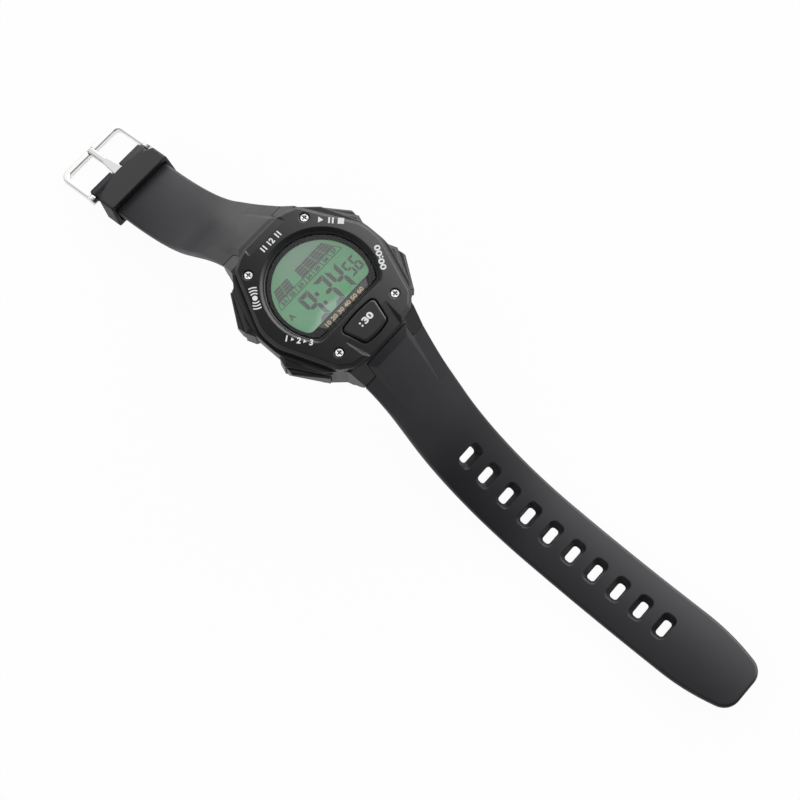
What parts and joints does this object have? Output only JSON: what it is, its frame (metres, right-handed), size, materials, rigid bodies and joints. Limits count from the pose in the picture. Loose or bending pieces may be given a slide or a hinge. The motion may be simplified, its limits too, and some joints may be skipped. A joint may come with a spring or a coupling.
{
  "type": "digital watch",
  "caption": "Digital sports watch with a round display, four side buttons, and a two-part strap with holes, keeper and frame buckle.",
  "frame": {"origin": "centre of the case back's outer face", "axes": "+X towards 3 o'clock, +Y towards 12 o'clock, +Z out of the display"},
  "size_m": [0.0384, 0.2156, 0.0528],
  "materials": {
    "resin_case": "satin black resin",
    "resin_bezel": "fine matte black resin",
    "resin_pad": "satin black resin",
    "resin_button": "satin black resin",
    "strap_resin": "matte black resin",
    "steel_polished": "polished",
    "steel_brushed": "brushed",
    "screw_steel": "bright",
    "crystal": "clear",
    "black_film": "flat black print",
    "lcd_glass": "clear",
    "lcd_film": "green-grey",
    "light_panel": "pale green",
    "seal_rubber": "matte",
    "module_plastic": "off-white",
    "circuit_board": "solder mask",
    "chip_resin": "black blob",
    "copper": "wound wire",
    "contact_metal": "gold plated",
    "insulator_film": "amber film"
  },
  "bodies": {
    "head": {"case_body": "resin_case", "bezel": "resin_bezel", "front_pad": "resin_pad", "bezel_screws": "screw_steel", "crystal": "crystal", "crystal_gasket": "seal_rubber", "display_mask": "black_film", "case_back": "steel_brushed", "case_back_screws": "screw_steel", "back_gasket": "seal_rubber", "button_seals": "seal_rubber", "front_polariser": "lcd_film", "lcd_front_glass": "lcd_glass", "lcd_rear_glass": "lcd_glass", "reflector": "lcd_film", "light_panel": "light_panel", "contact_strip": "seal_rubber", "module_frame": "module_plastic", "circuit_board": "circuit_board", "chip_blob": "chip_resin", "quartz_can": "steel_brushed", "coil": "copper", "switch_contacts": "contact_metal", "battery": "steel_brushed", "battery_clip": "contact_metal", "insulator": "insulator_film", "module_back_plate": "steel_brushed", "buzzer_disc": "contact_metal", "buzzer_spring": "contact_metal", "spring_bar_12_tube": "steel_brushed", "spring_bar_12_pins": "steel_brushed", "spring_bar_6_tube": "steel_brushed", "spring_bar_6_pins": "steel_brushed", "button_2_spring": "steel_brushed", "button_10_spring": "steel_brushed", "button_8_spring": "steel_brushed", "button_4_spring": "steel_brushed"},
    "button_2": {"button_2_cap": "resin_button", "button_2_stem": "steel_brushed", "button_2_clip": "steel_brushed"},
    "button_10": {"button_10_cap": "resin_button", "button_10_stem": "steel_brushed", "button_10_clip": "steel_brushed"},
    "button_8": {"button_8_cap": "resin_button", "button_8_stem": "steel_brushed", "button_8_clip": "steel_brushed"},
    "button_4": {"button_4_cap": "resin_button", "button_4_stem": "steel_brushed", "button_4_clip": "steel_brushed"},
    "strap_12_half": {"strap_12": "strap_resin"},
    "strap_6_half": {"strap_6": "strap_resin"},
    "buckle": {"buckle_frame": "steel_polished", "buckle_bar_tube": "steel_brushed", "buckle_bar_pins": "steel_brushed"},
    "tongue": {"buckle_tongue": "steel_polished"},
    "keeper_loop": {"keeper": "strap_resin"}
  },
  "joints": [
    {"name": "button_2_press", "type": "slide", "parent": "head", "child": "button_2", "axis": [-0.866, -0.5, 0], "range_m": [0, 0.0008], "stiffness_N_per_m": 1000, "springref_m": -0.0006, "deforming": ["button_2_spring"]},
    {"name": "button_10_press", "type": "slide", "parent": "head", "child": "button_10", "axis": [0.866, -0.5, 0], "range_m": [0, 0.0008], "stiffness_N_per_m": 1000, "springref_m": -0.0006, "deforming": ["button_10_spring"]},
    {"name": "button_8_press", "type": "slide", "parent": "head", "child": "button_8", "axis": [0.866, 0.5, 0], "range_m": [0, 0.0008], "stiffness_N_per_m": 1000, "springref_m": -0.0006, "deforming": ["button_8_spring"]},
    {"name": "button_4_press", "type": "slide", "parent": "head", "child": "button_4", "axis": [-0.866, 0.5, 0], "range_m": [0, 0.0008], "stiffness_N_per_m": 1000, "springref_m": -0.0006, "deforming": ["button_4_spring"]},
    {"name": "strap_12_fold", "type": "hinge", "parent": "head", "child": "strap_12_half", "pos_m": [0, 0.0197, 0.0034], "axis": [-1, 0, 0], "range_deg": [0, 22]},
    {"name": "strap_6_fold", "type": "hinge", "parent": "head", "child": "strap_6_half", "pos_m": [0, -0.0197, 0.0034], "axis": [1, 0, 0], "range_deg": [0, 22]},
    {"name": "buckle_swing", "type": "hinge", "parent": "strap_12_half", "child": "buckle", "pos_m": [0, 0.07264, -0.03704], "axis": [1, 0, 0], "range_deg": [-60, 12]},
    {"name": "tongue_swing", "type": "hinge", "parent": "buckle", "child": "tongue", "pos_m": [0, 0.07264, -0.03704], "axis": [1, 0, 0], "range_deg": [0, 72]},
    {"name": "keeper_slide", "type": "slide", "parent": "strap_12_half", "child": "keeper_loop", "axis": [0, -0.9511, 0.309], "range_m": [0, 0.0034]}
  ]
}
